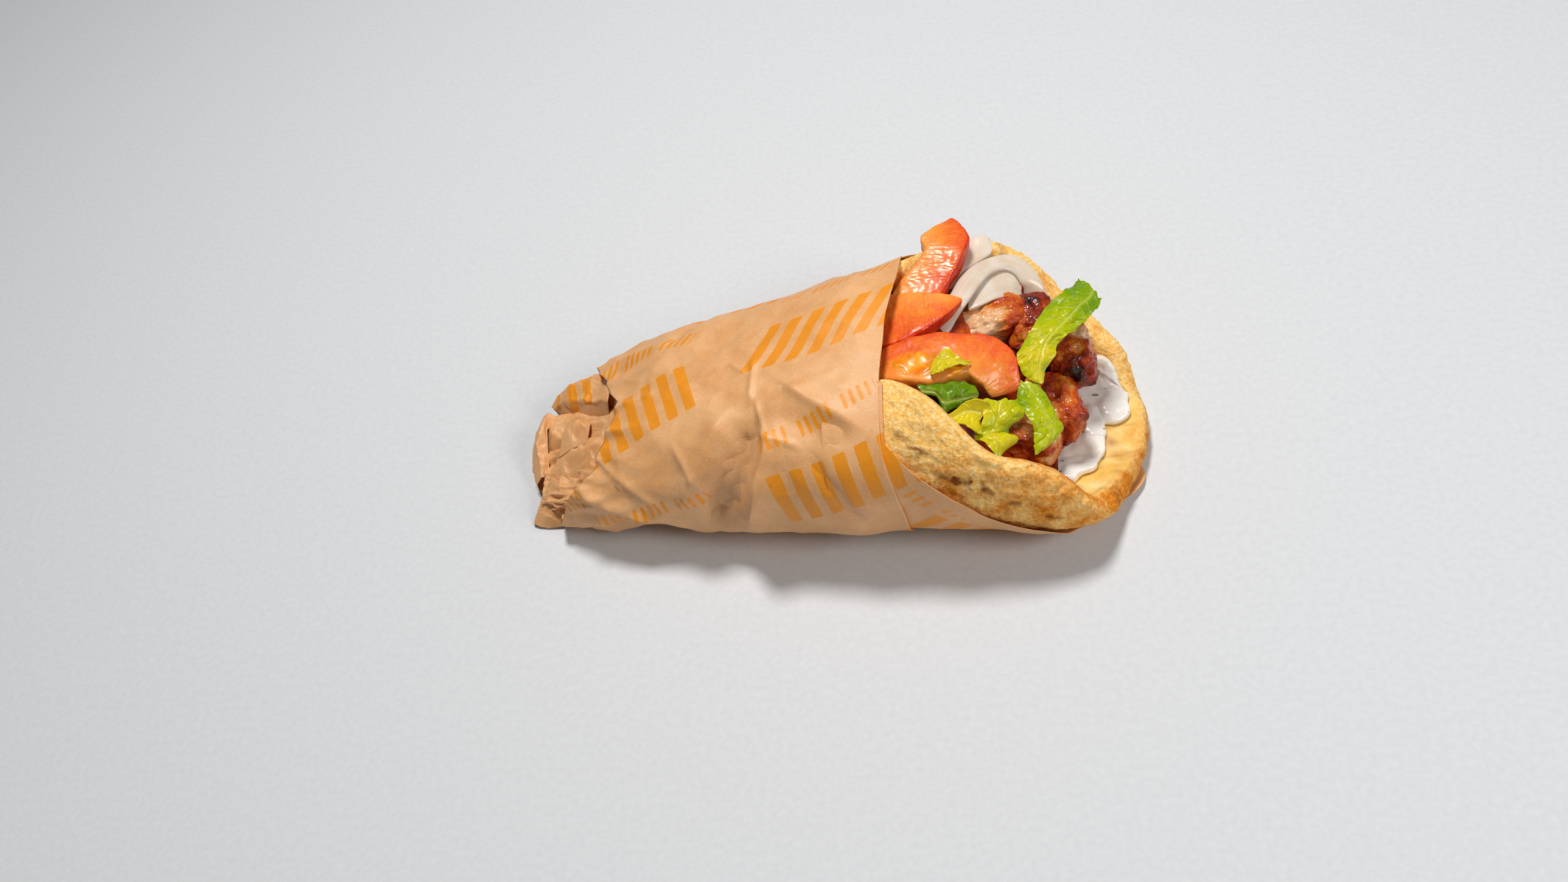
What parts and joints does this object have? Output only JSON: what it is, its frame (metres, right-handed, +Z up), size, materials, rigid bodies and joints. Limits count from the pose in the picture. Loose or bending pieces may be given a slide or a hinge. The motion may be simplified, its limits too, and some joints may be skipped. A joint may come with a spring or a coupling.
{
  "type": "pork souvlaki pita",
  "caption": "Grilled pork, tomato, onion, lettuce and white sauce in a folded flatbread, held in a printed kraft paper sleeve, lying on its side.",
  "frame": {"origin": "on the surface the wrap lies on, under the middle of its bounding box", "axes": "+X along the wrap from its closed paper tail to its open mouth, +Z up"},
  "size_m": [0.2105, 0.1053, 0.0615],
  "materials": {
    "kraft_paper": "matt, printed",
    "pita_bread": "matt, toasted",
    "grilled_pork": "glossy, charred",
    "tomato_flesh": "wet",
    "onion_flesh": "translucent, satin",
    "lettuce_leaf": "satin",
    "white_sauce": "glossy"
  },
  "bodies": {
    "root": {"paper_sleeve": "kraft_paper", "pita": "pita_bread", "filling_core": "grilled_pork", "pork_1": "grilled_pork", "pork_2": "grilled_pork", "pork_3": "grilled_pork", "pork_4": "grilled_pork", "pork_5": "grilled_pork", "tomato_1": "tomato_flesh", "tomato_2": "tomato_flesh", "tomato_3": "tomato_flesh", "onion_1": "onion_flesh", "onion_2": "onion_flesh", "lettuce_1": "lettuce_leaf", "lettuce_2": "lettuce_leaf", "lettuce_3": "lettuce_leaf", "lettuce_4": "lettuce_leaf", "lettuce_5": "lettuce_leaf", "lettuce_6": "lettuce_leaf", "white_sauce_1": "white_sauce", "white_sauce_2": "white_sauce"}
  },
  "joints": []
}
